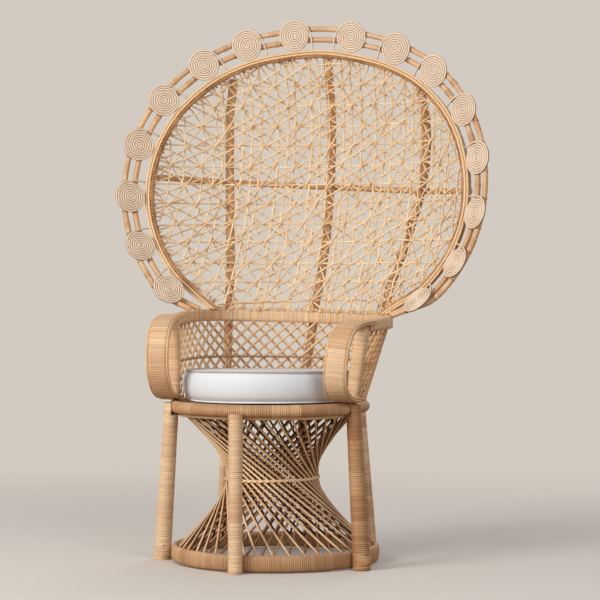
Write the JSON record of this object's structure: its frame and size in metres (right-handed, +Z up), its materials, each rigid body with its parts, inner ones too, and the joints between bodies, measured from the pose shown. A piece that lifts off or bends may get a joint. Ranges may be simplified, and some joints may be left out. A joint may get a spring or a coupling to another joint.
{
  "type": "peacock chair",
  "caption": "Rattan peacock chair: hourglass base in a wrapped ring, round cushion in a lattice barrel with curled arms, and a tall dished fan with coiled medallions.",
  "frame": {"origin": "middle of the footprint on the floor", "axes": "+Z up, the chair faces -Y, +X to the chair's right as seen from the front"},
  "size_m": [1.0575, 0.7908, 1.477],
  "materials": {
    "pale_cane": "bare split cane, satin",
    "wrapped_rattan": "close binding of flat cane, satin",
    "bare_rattan": "bare pole with node rings, satin",
    "dark_binding": "close binding of darker cane, satin",
    "deck_board": "plain board, matt",
    "cushion_fabric": "woven linen, matt",
    "cushion_piping": "corded edge, matt"
  },
  "bodies": {
    "root": {"base_ring": "wrapped_rattan", "seat_ring": "wrapped_rattan", "strand_ring": "pale_cane", "front_leg": "wrapped_rattan", "front_right_leg": "wrapped_rattan", "front_left_leg": "wrapped_rattan", "hourglass_lower": "pale_cane", "hourglass_upper": "pale_cane", "hourglass_inner": "pale_cane", "waist_binding": "pale_cane", "seat_deck": "deck_board", "seat_cushion": "cushion_fabric", "cushion_piping_top": "cushion_piping", "cushion_piping_bottom": "cushion_piping", "top_rail": "wrapped_rattan", "lattice_outer": "pale_cane", "lattice_inner": "pale_cane", "lattice_band": "pale_cane", "right_arm_band": "wrapped_rattan", "right_arm_cane_outer": "pale_cane", "right_arm_cane_inner": "pale_cane", "right_arm_post": "wrapped_rattan", "left_arm_band": "wrapped_rattan", "left_arm_cane_outer": "pale_cane", "left_arm_cane_inner": "pale_cane", "left_arm_post": "wrapped_rattan", "outer_fan_ring": "wrapped_rattan", "inner_fan_ring": "wrapped_rattan", "hoop_band": "dark_binding", "hoop_cane_outer": "pale_cane", "hoop_cane_inner": "pale_cane", "medallion_right_1": "pale_cane", "medallion_right_2": "pale_cane", "medallion_right_3": "pale_cane", "medallion_right_4": "pale_cane", "medallion_right_5": "pale_cane", "medallion_right_6": "pale_cane", "medallion_right_7": "pale_cane", "medallion_right_8": "pale_cane", "medallion_left_1": "pale_cane", "medallion_left_2": "pale_cane", "medallion_left_3": "pale_cane", "medallion_left_4": "pale_cane", "medallion_left_5": "pale_cane", "medallion_left_6": "pale_cane", "medallion_left_7": "pale_cane", "medallion_left_8": "pale_cane", "weave_uprights": "pale_cane", "weave_rising": "pale_cane", "weave_falling": "pale_cane", "back_middle_pole": "bare_rattan", "back_right_pole": "bare_rattan", "back_left_pole": "bare_rattan", "fan_brace": "bare_rattan"}
  },
  "joints": []
}
